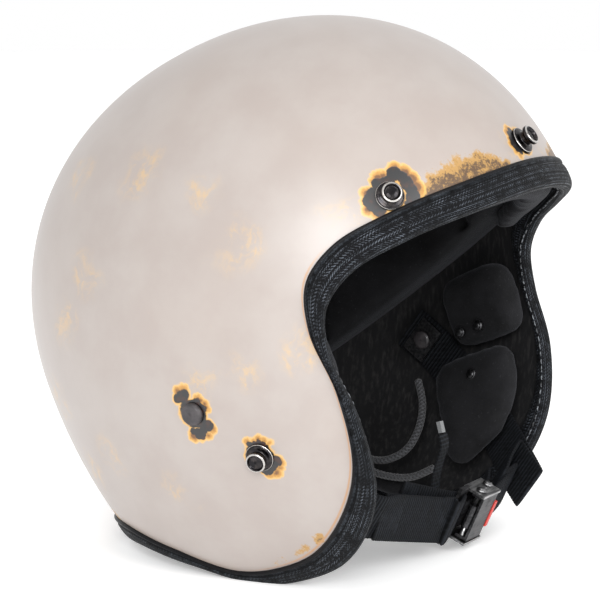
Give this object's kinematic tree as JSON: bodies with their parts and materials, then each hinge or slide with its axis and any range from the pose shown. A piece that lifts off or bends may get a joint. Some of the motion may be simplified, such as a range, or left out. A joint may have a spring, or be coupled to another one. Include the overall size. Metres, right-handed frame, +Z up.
{
  "type": "open face motorcycle helmet",
  "caption": "Open face motorcycle helmet: rounded shell with a woven edge band, padded lining, snap posts for a visor, and a chin strap with a ratchet buckle and lever.",
  "frame": {"origin": "on the table under the middle of the helmet's box, with the helmet resting on its neck edge", "axes": "+Z up, the face opening looks towards -Y, and the wearer's right side is -X"},
  "size_m": [0.238, 0.2618, 0.2549],
  "materials": {
    "shell_paint": "satin",
    "foam": "matte",
    "velvet": "matte",
    "edge_band": "matte",
    "webbing": "matte",
    "nickel": "polished",
    "dark_steel": "satin",
    "black_paint": "satin",
    "red_plastic": "satin"
  },
  "bodies": {
    "helmet": {"outer_shell": "shell_paint", "impact_liner": "foam", "edge_trim": "edge_band", "brow_pad": "velvet", "neck_roll": "velvet", "crown_pad_right": "velvet", "temple_pad_right": "velvet", "cheek_pad_right": "velvet", "crown_pad_left": "velvet", "temple_pad_left": "velvet", "cheek_pad_left": "velvet", "brow_stud_center": "nickel", "brow_stud_right": "nickel", "brow_stud_left": "nickel", "side_stud_right": "nickel", "side_stud_left": "nickel", "strap_rivet_right": "black_paint", "strap_rivet_left": "black_paint", "lining_snap_upper_front_right": "dark_steel", "lining_snap_upper_rear_right": "dark_steel", "lining_snap_lower_right": "dark_steel", "lining_snap_upper_front_left": "dark_steel", "lining_snap_upper_rear_left": "dark_steel", "lining_snap_lower_left": "dark_steel", "cheek_piping_upper_right": "webbing", "cheek_piping_lower_right": "webbing", "cheek_piping_upper_left": "webbing", "cheek_piping_lower_left": "webbing"},
    "chin_strap": {"strap_anchor_right": "dark_steel", "strap_anchor_left": "dark_steel", "strap_webbing_right": "webbing", "strap_webbing_left": "webbing", "buckle_frame": "nickel", "buckle_bar": "nickel", "lever_pin": "nickel", "lever_spring": "dark_steel", "pull_strip": "webbing", "pull_strip_tip": "red_plastic"},
    "tongue": {"ratchet_tongue": "dark_steel"},
    "lever": {"release_lever": "dark_steel", "release_tab": "red_plastic"}
  },
  "joints": [
    {"name": "strap_swing", "type": "hinge", "parent": "helmet", "child": "chin_strap", "pos_m": [0, -0.01412, 0.08367], "axis": [-1, 0, 0], "range_deg": [0, 6]},
    {"name": "tongue_slide", "type": "slide", "parent": "chin_strap", "child": "tongue", "axis": [1, 0, 0], "range_m": [-0.01, 0.001], "deforming": ["strap_webbing_right"]},
    {"name": "lever_lift", "type": "hinge", "parent": "chin_strap", "child": "lever", "pos_m": [0.0175, -0.08597, 0.01784], "axis": [0, 0.4067, -0.9135], "range_deg": [0, 35], "stiffness_Nm_per_rad": 0.02, "springref_deg": -28.65}
  ]
}
